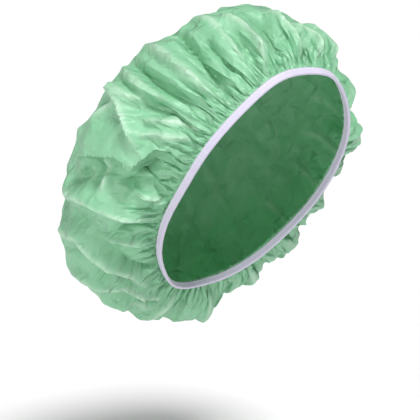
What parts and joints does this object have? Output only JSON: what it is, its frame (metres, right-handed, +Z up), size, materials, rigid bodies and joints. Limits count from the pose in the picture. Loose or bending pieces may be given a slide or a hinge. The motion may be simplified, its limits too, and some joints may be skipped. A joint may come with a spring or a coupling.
{
  "type": "shower cap",
  "caption": "Bouffant shower cap of thin green plastic film, gathered into a narrow white elastic binding, in the form it takes on a head.",
  "frame": {"origin": "centre of the opening that the head goes in by, about 10 mm above the middle of the ears", "axes": "+Z up as worn on an upright head, -Y the way the face looks, +X the wearer's left"},
  "size_m": [0.2525, 0.257, 0.2887],
  "materials": {
    "film": "soft gloss, slightly translucent PEVA film",
    "binding": "matt knitted elastic tape"
  },
  "bodies": {
    "root": {"film_crown": "film", "edge_binding": "binding"}
  },
  "joints": []
}
